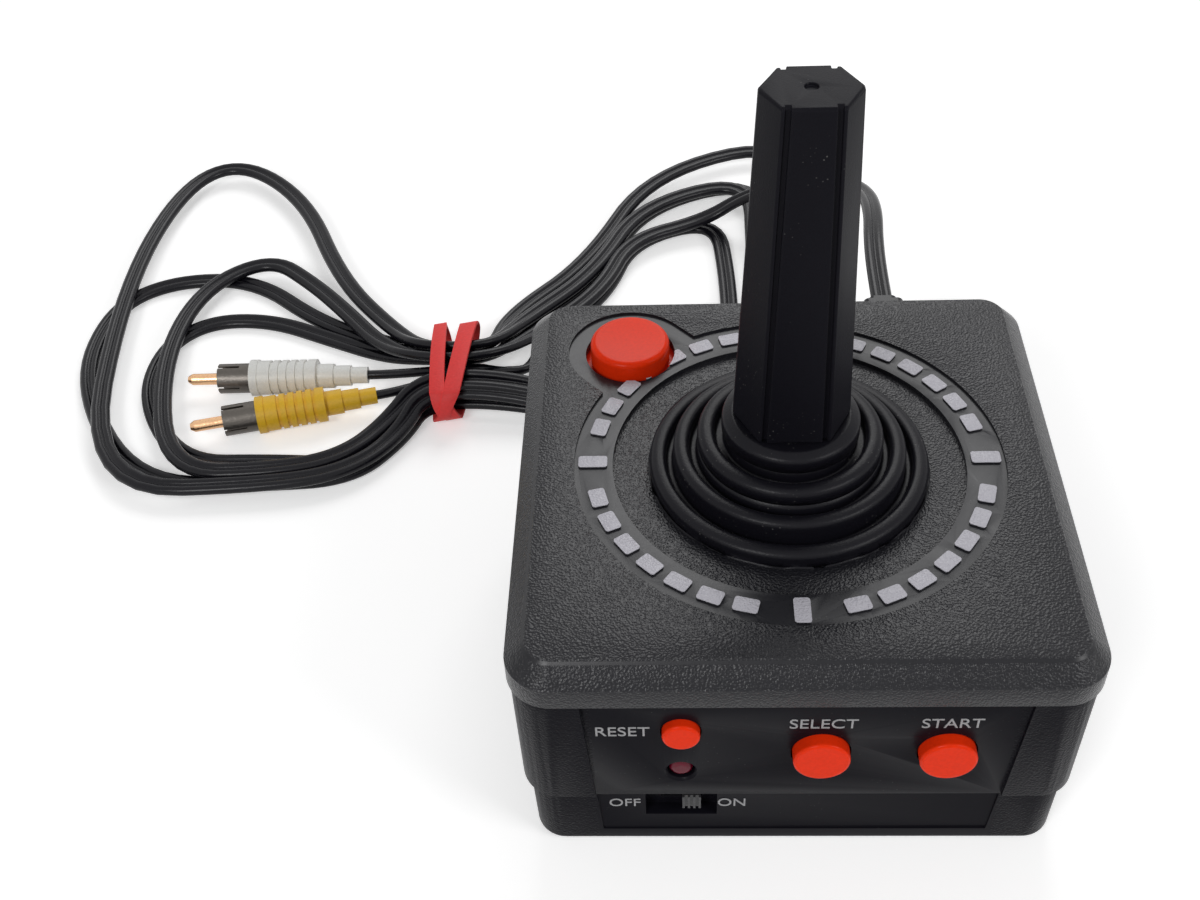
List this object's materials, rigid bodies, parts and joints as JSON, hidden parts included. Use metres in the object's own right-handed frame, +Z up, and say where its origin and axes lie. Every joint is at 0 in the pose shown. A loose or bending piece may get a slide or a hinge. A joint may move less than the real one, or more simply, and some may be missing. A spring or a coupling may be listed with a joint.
{
  "type": "plug-and-play joystick",
  "caption": "Square game joystick with a centre stick in a stepped rubber boot, a corner fire button, front buttons, a slide switch and a hanked twin cord with video and audio plugs.",
  "frame": {"origin": "centre of the flat base of the case, on the surface it stands on", "axes": "+Z up along the handle, +X to the player's right, -Y towards the player, out of the front panel"},
  "size_m": [0.2493, 0.258, 0.1455],
  "materials": {
    "housing_plastic": "fine grained, near black, with smooth panels",
    "handle_rubber": "matt, soft touch",
    "boot_rubber": "smooth, with shiny ridge tops",
    "red_button": "glossy orange red",
    "inner_plastic": "plain moulded",
    "shaft_nylon": "plain moulded",
    "switch_knob": "ribbed satin black",
    "lamp": "clear dark red resin",
    "pad_rubber": "silicone",
    "board": "green laminate",
    "board_part": "epoxy black",
    "ribbon": "grey insulation",
    "screw_steel": "zinc plated",
    "contact_steel": "nickel plated",
    "cell": "plain sleeve",
    "cord_jacket": "soft shiny jacket",
    "band_rubber": "matt red",
    "yellow_plug": "moulded yellow",
    "white_plug": "moulded white",
    "plug_shell": "dark plated",
    "plug_pin": "coppery plating, worn"
  },
  "bodies": {
    "case": {"top_cover": "housing_plastic", "upper_housing": "housing_plastic", "lower_housing": "housing_plastic", "case_screws": "screw_steel", "board_screws": "screw_steel", "front_board_screws": "screw_steel", "plate_screws": "screw_steel", "pivot_plate": "inner_plastic", "boot": "boot_rubber", "fire_dome": "pad_rubber", "front_pad": "pad_rubber", "front_board": "board", "power_led": "lamp", "switch_body": "inner_plastic", "main_board": "board", "direction_pad": "pad_rubber", "chip_blob": "board_part", "board_parts": "board_part", "ribbon_cable": "ribbon", "batteries": "cell", "contact_plates": "contact_steel", "contact_springs": "contact_steel", "strain_relief": "cord_jacket", "cord_lead": "cord_jacket", "cord_hank": "cord_jacket", "rubber_band": "band_rubber", "video_lead": "cord_jacket", "audio_lead": "cord_jacket", "video_plug_body": "yellow_plug", "video_plug_shell": "plug_shell", "video_plug_pin": "plug_pin", "audio_plug_body": "white_plug", "audio_plug_shell": "plug_shell", "audio_plug_pin": "plug_pin"},
    "gimbal": {"gimbal_ring": "inner_plastic"},
    "stick": {"stick_core": "shaft_nylon", "handle": "handle_rubber"},
    "fire": {"fire_button": "red_button"},
    "reset": {"reset_button": "red_button"},
    "select": {"select_button": "red_button"},
    "start": {"start_button": "red_button"},
    "power_knob": {"switch_knob": "switch_knob"},
    "door": {"battery_door": "housing_plastic", "door_screw": "screw_steel"}
  },
  "joints": [
    {"name": "stick_tilt_x", "type": "hinge", "parent": "case", "child": "gimbal", "pos_m": [0, 0, 0.05], "axis": [1, 0, 0], "range_deg": [-10, 10], "stiffness_Nm_per_rad": 1.2, "deforming": ["boot"]},
    {"name": "stick_tilt_y", "type": "hinge", "parent": "gimbal", "child": "stick", "pos_m": [0, 0, 0.05], "axis": [0, 1, 0], "range_deg": [-10, 10], "stiffness_Nm_per_rad": 1.2, "deforming": ["boot"]},
    {"name": "fire_press", "type": "slide", "parent": "case", "child": "fire", "axis": [0, 0, -1], "range_m": [0, 0.002], "stiffness_N_per_m": 600, "springref_m": -0.0006, "deforming": ["fire_dome"]},
    {"name": "reset_press", "type": "slide", "parent": "case", "child": "reset", "axis": [0, 1, 0], "range_m": [0, 0.0012], "stiffness_N_per_m": 500, "springref_m": -0.00036},
    {"name": "select_press", "type": "slide", "parent": "case", "child": "select", "axis": [0, 1, 0], "range_m": [0, 0.0012], "stiffness_N_per_m": 500, "springref_m": -0.00036},
    {"name": "start_press", "type": "slide", "parent": "case", "child": "start", "axis": [0, 1, 0], "range_m": [0, 0.0012], "stiffness_N_per_m": 500, "springref_m": -0.00036},
    {"name": "power_slide", "type": "slide", "parent": "case", "child": "power_knob", "axis": [1, 0, 0], "range_m": [-0.0042, 0]},
    {"name": "door_hinge", "type": "hinge", "parent": "case", "child": "door", "pos_m": [0, 0.0336, 0], "axis": [1, 0, 0], "range_deg": [0, 65]}
  ]
}
